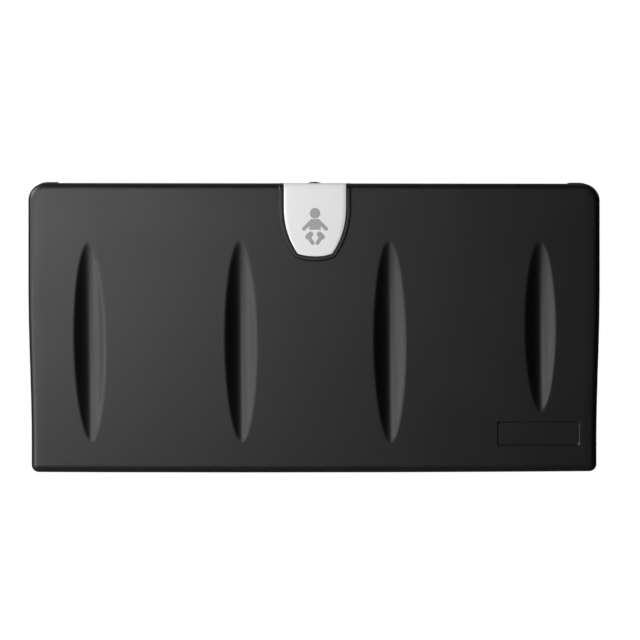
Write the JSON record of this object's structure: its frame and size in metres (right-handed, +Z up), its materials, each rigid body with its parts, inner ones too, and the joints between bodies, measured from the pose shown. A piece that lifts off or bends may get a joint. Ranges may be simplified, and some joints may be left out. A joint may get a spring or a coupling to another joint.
{
  "type": "baby changing station",
  "caption": "Wall-mounted horizontal fold-down baby changing station with a grooved moulded bed, safety strap, gas springs, bag hooks and liner dispensers.",
  "frame": {"origin": "centre of the back face of the steel backer plate, on the wall plane", "axes": "+X to the right of someone facing the unit, +Y into the wall, +Z up; the bed folds out towards -Y"},
  "size_m": [0.927, 0.1042, 0.4735],
  "materials": {
    "moulded_black": "fine-grained moulded polyethylene, satin",
    "sign_white": "smooth printed plate",
    "zinc_steel": "zinc-plated sheet and bar",
    "bright_chrome": "polished plating",
    "spring_black": "satin black coated tube",
    "bumper_rubber": "soft matt rubber",
    "strap_webbing": "flat woven webbing",
    "buckle_plastic": "moulded acetal",
    "liner_paper": "folded soft paper"
  },
  "bodies": {
    "wall_unit": {"wall_shell": "moulded_black", "backer_plate": "zinc_steel", "plate_screw_1": "zinc_steel", "plate_screw_2": "zinc_steel", "plate_screw_3": "zinc_steel", "plate_screw_4": "zinc_steel", "wall_fascia": "moulded_black", "hinge_leaf_wall": "zinc_steel", "hinge_pin": "zinc_steel", "gas_foot_left": "zinc_steel", "gas_foot_right": "zinc_steel", "liner_door_pin_left": "zinc_steel", "liner_stack_left": "liner_paper", "liner_door_pin_right": "zinc_steel", "liner_stack_right": "liner_paper", "bag_hook_left": "moulded_black", "bag_hook_right": "moulded_black", "rubber_bumper_left": "bumper_rubber", "rubber_bumper_right": "bumper_rubber"},
    "bed": {"bed_shell": "moulded_black", "bed_pan": "moulded_black", "sign_plate": "sign_white", "hinge_leaf_bed": "zinc_steel", "bed_stiffener_left": "zinc_steel", "bed_stiffener_right": "zinc_steel", "gas_head_left": "zinc_steel", "gas_head_right": "zinc_steel", "strap_rear": "strap_webbing", "strap_front": "strap_webbing", "strap_bar_rear": "zinc_steel", "strap_bar_front": "zinc_steel", "buckle_frame": "buckle_plastic", "buckle_pin": "zinc_steel"},
    "buckle_lever": {"buckle_lever": "buckle_plastic"},
    "gas_rod_left": {"gas_rod_left": "bright_chrome"},
    "gas_cylinder_left": {"gas_cylinder_left": "spring_black"},
    "liner_door_left": {"liner_door_left": "moulded_black"},
    "liner_lock_left": {"lock_barrel_left": "bright_chrome", "lock_cam_left": "zinc_steel"},
    "gas_rod_right": {"gas_rod_right": "bright_chrome"},
    "gas_cylinder_right": {"gas_cylinder_right": "spring_black"},
    "liner_door_right": {"liner_door_right": "moulded_black"},
    "liner_lock_right": {"lock_barrel_right": "bright_chrome", "lock_cam_right": "zinc_steel"}
  },
  "joints": [
    {"name": "bed_fold", "type": "hinge", "parent": "wall_unit", "child": "bed", "pos_m": [0, -0.051, -0.205], "axis": [1, 0, 0], "range_deg": [0, 90], "stiffness_Nm_per_rad": 3, "springref_deg": -45.84},
    {"name": "gas_swing_left", "type": "hinge", "parent": "wall_unit", "child": "gas_rod_left", "pos_m": [-0.443, -0.049, -0.222], "axis": [1, 0, 0], "range_deg": [0, 84.5]},
    {"name": "gas_slide_left", "type": "slide", "parent": "gas_rod_left", "child": "gas_cylinder_left", "axis": [0, -0.1377, 0.9905], "range_m": [-0.0168, 0]},
    {"name": "liner_door_tilt_left", "type": "hinge", "parent": "wall_unit", "child": "liner_door_left", "pos_m": [-0.225, -0.0315, -0.0605], "axis": [1, 0, 0], "range_deg": [0, 22]},
    {"name": "liner_lock_turn_left", "type": "hinge", "parent": "liner_door_left", "child": "liner_lock_left", "pos_m": [-0.225, -0.0315, 0.0375], "axis": [0, -1, 0], "range_deg": [0, 90]},
    {"name": "gas_swing_right", "type": "hinge", "parent": "wall_unit", "child": "gas_rod_right", "pos_m": [0.443, -0.049, -0.222], "axis": [1, 0, 0], "range_deg": [0, 84.5]},
    {"name": "gas_slide_right", "type": "slide", "parent": "gas_rod_right", "child": "gas_cylinder_right", "axis": [0, -0.1377, 0.9905], "range_m": [-0.0168, 0]},
    {"name": "liner_door_tilt_right", "type": "hinge", "parent": "wall_unit", "child": "liner_door_right", "pos_m": [0.225, -0.0315, -0.0605], "axis": [1, 0, 0], "range_deg": [0, 22]},
    {"name": "liner_lock_turn_right", "type": "hinge", "parent": "liner_door_right", "child": "liner_lock_right", "pos_m": [0.225, -0.0315, 0.0375], "axis": [0, -1, 0], "range_deg": [0, 90]},
    {"name": "buckle_lever_lift", "type": "hinge", "parent": "bed", "child": "buckle_lever", "pos_m": [0, -0.0725, 0.027], "axis": [1, 0, 0], "range_deg": [0, 70], "stiffness_Nm_per_rad": 0.05, "springref_deg": -17.19}
  ],
  "couplings": [
    {"joint": "gas_swing_left", "follows": "bed_fold", "ratio": 0.93795},
    {"joint": "gas_slide_left", "follows": "bed_fold", "m_per_rad": -0.010604},
    {"joint": "gas_swing_right", "follows": "bed_fold", "ratio": 0.93795},
    {"joint": "gas_slide_right", "follows": "bed_fold", "m_per_rad": -0.010604}
  ]
}
